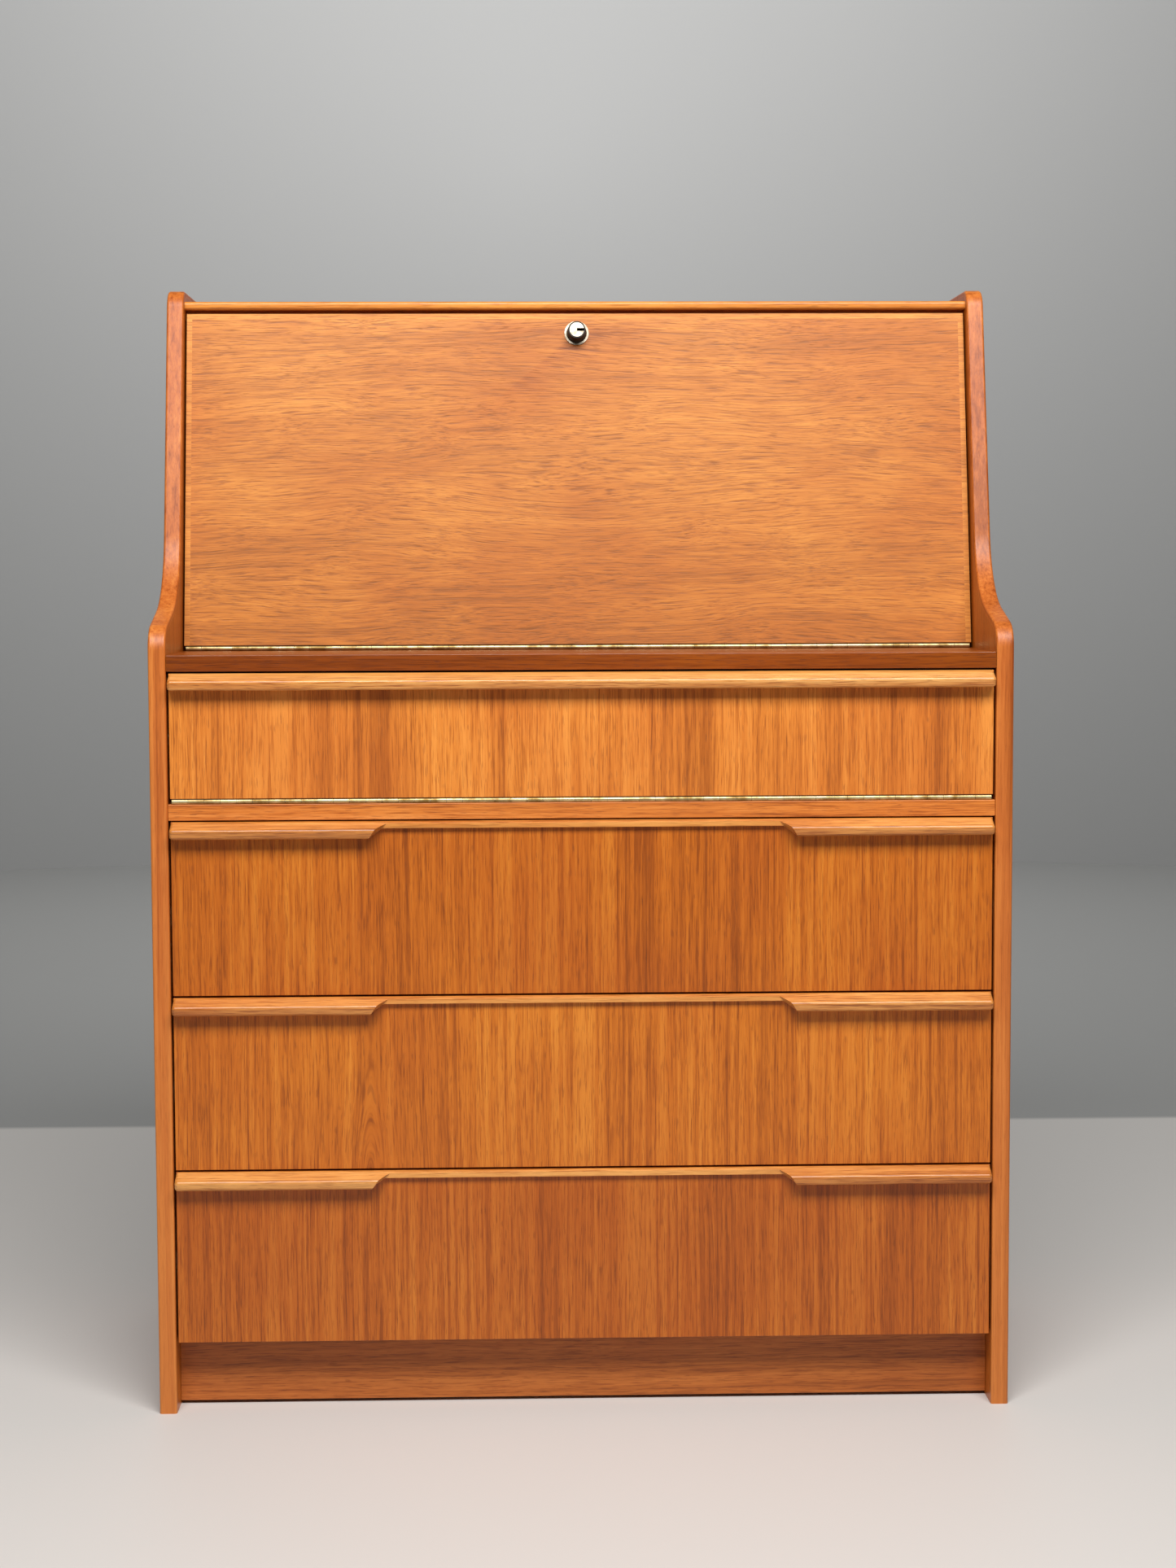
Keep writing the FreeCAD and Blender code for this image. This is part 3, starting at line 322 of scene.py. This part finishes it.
# Solid teak strips on the sides' front edges, sanded round: straight grain, soft sheen.
lipping_teak = wood("teak_lippings", "z", 13, wave=0.3, flecks=0.3, pores=0.2, gloss=0.45,
                    rub_and_sheen=0.5, coat=0.0, shine=0.4, **RUSSET)
# Steamed beech, planed and left bare: pale pinkish cream with short fine flecks.
beech = wood("beech_drawer_sides", "y", 14, "#DDBE90", "#D0AC7C", "#BC9464",
             wave=0.4, flecks=0.4, pores=0.3, patina=0.2, gloss=0.5, coat=0.0)
# Pressed wood fibre, its smooth face out: flat brown, quite without grain.
hardboard = plain("hardboard", ("#7A5636", "#8C6644"), 0.7, 500.0, 0.2)
# Rolled and folded brass strip that has dulled in patches: warm yellow, broken shine.
brass = metal("brass", "#CDB98A", "#8F7444", 0.38, 90.0)
# Pressed steel, zinc-plated: cool grey with a cloudy bloom.
zinc = metal("zinc_plated_steel", "#C9CACB", "#8F9192", 0.34, 140.0)
# Turned brass, nickel-plated and handled until it yellowed: a dim mirror, a shade warm.
nickel = metal("nickel_plate", "#BFB4A2", "#8E8370", 0.42, 120.0)
# Turned brass under stoved black enamel: near black, with a weak satin light.
# Its black is also painted into the lock plug's key slot as shade.
black_enamel_and_shade = plain("black_enamel_and_shade", ("#0F0C0A", "#1C1713"), 0.5, shine=0.2)
# Moulded brown plastic: even, with the mould's faint orange peel.
brown_plastic = plain("brown_plastic", ("#3B2414", "#4A2E1B"), 0.45)


# ---------------------------------------------------------------------------
# Pieces
# ---------------------------------------------------------------------------

BODY_OF = {}
for body_name, body_nodes in frame["record"]["behaviour"]["bodies"].items():
    for node_name in body_nodes:
        BODY_OF[node_name] = body_name


def only(piece):
    """Select one piece and nothing else."""
    bpy.ops.object.select_all(action="DESELECT")
    piece.select_set(True)
    bpy.context.view_layer.objects.active = piece


def paint(piece, material):
    """Make this the piece's one material."""
    piece.data.materials.clear()
    piece.data.materials.append(material)


def mark_arrises(piece, angle):
    """Give a bevel weight to each sharp edge."""
    shape = bmesh.new()
    shape.from_mesh(piece.data)
    weight = shape.edges.layers.float.new("bevel_weight_edge")
    for edge in shape.edges:
        sharp = len(edge.link_faces) == 2 and edge.calc_face_angle(0) > math.radians(angle)
        edge[weight] = 1.0 if sharp else 0.0
    shape.to_mesh(piece.data)
    shape.free()


def eased(node, material, width=0.6 * MM, segments=2, angle=40):
    """A copy of a board or moulding with its doubles merged and its arrises eased.

    A width of 0 leaves the arrises as they are; angle, in degrees, is what counts as one.
    """
    piece = frame["nodes"][node].copy()
    piece.data = piece.data.copy()
    piece.name = node + "_finished"
    bpy.context.scene.collection.objects.link(piece)
    only(piece)
    bpy.ops.object.mode_set(mode="EDIT")
    bpy.ops.mesh.select_all(action="SELECT")
    bpy.ops.mesh.remove_doubles(threshold=MERGE_GAP)
    bpy.ops.mesh.dissolve_limited(angle_limit=FLAT_WITHIN)
    bpy.ops.object.mode_set(mode="OBJECT")
    if width:
        mark_arrises(piece, angle)
        bevel = piece.modifiers.new("ease", "BEVEL")
        bevel.width = width
        bevel.segments = segments
        bevel.limit_method = "WEIGHT"
        bpy.ops.object.modifier_apply(modifier=bevel.name)
    bpy.ops.object.shade_smooth_by_angle(angle=SMOOTH_WITHIN)
    shading = piece.modifiers.new("shading", "WEIGHTED_NORMAL")
    shading.keep_sharp = True
    bpy.ops.object.modifier_apply(modifier=shading.name)
    paint(piece, material)
    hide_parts(node)
    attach(piece, BODY_OF[node])
    return piece


def paint_shade_into_key_slot(plug):
    """Give the enamel's black to the walls and floor of the plug's key slot, as painted shade.
    """
    joints = frame["record"]["behaviour"]["joints"]
    turn = next(joint for joint in joints if joint["name"] == "lock_turn")
    centre, axis = Vector(turn["pos_m"]), Vector(turn["axis"])
    face = max((vertex.co - centre).dot(axis) for vertex in plug.data.vertices)
    least_depth, most_depth, reach = 0.1 * MM, 10 * MM, 6 * MM
    # The slot's faces get painted shade in the enamel's black.
    painted_shade_slot = len(plug.data.materials)
    plug.data.materials.append(black_enamel_and_shade)
    for polygon in plug.data.polygons:
        offset = polygon.center - centre
        depth = face - offset.dot(axis)
        radius = (offset - axis * offset.dot(axis)).length
        if least_depth < depth < most_depth and radius < reach:
            polygon.material_index = painted_shade_slot


def keep(material, *nodes):
    """CAD nodes whose shape is right already: only their material changes."""
    for node in nodes:
        paint(frame["nodes"][node], material)


for number in DRAWERS:
    eased(f"drawer_{number}_front", front_teak[number], width=0.5 * MM)
    eased(f"drawer_{number}_handle", handle_teak, width=1.1 * MM, segments=3, angle=30)
    keep(beech, f"drawer_{number}_sides", f"drawer_{number}_back")
    keep(hardboard, f"drawer_{number}_bottom")
eased("drop_front", drop_teak, width=0.5 * MM)
eased("drop_front_handle", drop_handle_teak, width=0)
eased("writing_flap", flap_teak, width=0)
eased("flap_lipping", flap_lipping_teak, width=0)
eased("writing_floor", ledge_teak, width=0.9 * MM, segments=3)
eased("compartment_floor", rail_teak, width=0.8 * MM, segments=3)
eased("plinth_front", plinth_teak)
eased("top_nosing", nosing_teak, width=0)
eased("top_board", board_teak, width=0)
eased("letter_shelf", board_teak)
eased("letter_dividers", board_teak)
for hand in ("left", "right"):
    eased(f"{hand}_side_lipping", lipping_teak, width=0)
    keep(side_teak, f"{hand}_side")
keep(hardboard, "back_panel")
keep(board_teak, "base_board")
keep(beech, "drawer_runners")
keep(brass, "upper_hinge_fixed_leaf", "upper_hinge_flap_leaf", "lower_hinge_fixed_leaf",
     "lower_hinge_drop_leaf", "upper_hinge_carcase_screws", "lower_hinge_carcase_screws",
     "flap_hinge_screws", "drop_hinge_screws", "strike_plate")
# The plug's key slot gets painted shade.
paint_shade_into_key_slot(eased("lock_plug", nickel, width=0))
keep(nickel, "lock_ring")
keep(black_enamel_and_shade, "lock_barrel")
keep(zinc, "back_pins", "upper_hinge_pin", "lower_hinge_pin", "stay_studs", "lock_cam",
     "flap_stay_brackets", "drop_stay_brackets", "drop_catch_plates", "left_flap_stay",
     "right_flap_stay", "left_drop_stay", "right_drop_stay")
keep(brown_plastic, "magnetic_catches")


# ---------------------------------------------------------------------------
# Stage, light and camera
# ---------------------------------------------------------------------------

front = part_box("left_side_lipping")[0][1]


def stage():
    """A round grey room with a pale floor; behind the desk the floor is as grey as the wall."""
    radius, height = 4.5, 4.0
    grey_from, blur = 1.06, 0.01
    glow_at, glow_size = 1.8, 2.4
    bpy.ops.object.select_all(action="DESELECT")
    bpy.ops.mesh.primitive_circle_add(vertices=96, radius=radius, fill_type="NGON")
    floor = bpy.context.object
    floor.name = "studio_floor"
    # Painted boards, matt: pale in front of the line and grey behind it.
    material, tree, shader = new_material("painted_floor")
    where = add(tree, "TexCoord")
    place = add(tree, "SeparateXYZ", {"Vector": where.outputs["Object"]})
    behind = add(tree, "MapRange", {"Value": place.outputs["Y"]}, From_Min=grey_from - blur,
                 From_Max=grey_from + blur)
    shade = add(tree, "ValToRGB", {"Fac": behind.outputs[0]},
                ramp=[(0.0, "#D3CFCA"), (1.0, "#9C9C9A")])
    tree.links.new(shade.outputs[0], shader.inputs["Base Color"])
    shader.inputs["Roughness"].default_value = 0.55
    paint(floor, material)
    bpy.ops.mesh.primitive_cylinder_add(vertices=96, radius=radius, depth=height,
                                        end_fill_type="NOTHING",
                                        location=(0, 0, height / 2))
    bpy.ops.object.transform_apply(location=True)
    bpy.ops.object.shade_smooth()
    wall = bpy.context.object
    wall.name = "studio_wall"
    # Matt wall paint, with a painted pool of light behind the top of the desk.
    material, tree, shader = new_material("grey_wall")
    where = add(tree, "TexCoord")
    centred = add(tree, "Mapping", {"Vector": where.outputs["Object"]},
                  Location=(0, -radius, -glow_at))
    distance = add(tree, "VectorMath", {0: centred.outputs[0]}, operation="LENGTH")
    glow = add(tree, "MapRange", {"Value": distance.outputs["Value"]}, From_Max=glow_size)
    shade = add(tree, "ValToRGB", {"Fac": glow.outputs[0]},
                ramp=[(0.0, "#B6B6B5"), (1.0, "#9A9A99")])
    tree.links.new(shade.outputs[0], shader.inputs["Base Color"])
    shader.inputs["Roughness"].default_value = 0.8
    paint(wall, material)


def area_light(name, location, target, size, power):
    """A white rectangle of light; places and sizes in metres, power in watts."""
    data = bpy.data.lights.new(name, "AREA")
    data.shape = "RECTANGLE"
    data.size, data.size_y = size
    data.energy = power
    light = bpy.data.objects.new(name, data)
    light.location = location
    aim = Vector(target) - Vector(location)
    light.rotation_euler = aim.to_track_quat("-Z", "Y").to_euler()
    bpy.context.scene.collection.objects.link(light)


def camera():
    """Eye height 750 mm, 2.4 m before the desk, looking slightly down and to the right."""
    sideways, distance, eye_height = -0.0617, 2.388, 0.7501
    yaw, pitch, roll = 0.02758, -0.07817, -0.00377
    data = bpy.data.cameras.new("camera")
    data.sensor_fit = "VERTICAL"
    data.sensor_height = 36
    data.lens = 62.37
    eye = bpy.data.objects.new("camera", data)
    forward = Vector((math.sin(yaw) * math.cos(pitch), math.cos(yaw) * math.cos(pitch),
                      math.sin(pitch)))
    right = Vector((math.cos(yaw), -math.sin(yaw), 0))
    up = right.cross(forward)
    turned_right = right * math.cos(roll) + up * math.sin(roll)
    turned_up = up * math.cos(roll) - right * math.sin(roll)
    axes = Matrix((turned_right, turned_up, -forward)).transposed()
    place = Matrix.Translation((sideways, front - distance, eye_height))
    eye.matrix_world = place @ axes.to_4x4()
    bpy.context.scene.collection.objects.link(eye)
    bpy.context.scene.camera = eye


stage()
area_light("ceiling", (0.1, -1.75, 2.4), (0, -0.1, 0.5), (2.2, 0.9), 102)
area_light("front_fill", (-0.4, -3.0, 2.4), (0, 0, 0.6), (2.5, 1.2), 2.5)
area_light("backdrop", (0, 2.4, 3.2), (0, 4.5, 1.2), (2.4, 0.4), 70)
world = bpy.data.worlds.new("studio")
world.use_nodes = True
world.node_tree.nodes["Background"].inputs["Color"].default_value = linear("#C8CCD0")
world.node_tree.nodes["Background"].inputs["Strength"].default_value = 0.09
bpy.context.scene.world = world
bpy.context.scene.view_settings.view_transform = "Standard"
camera()
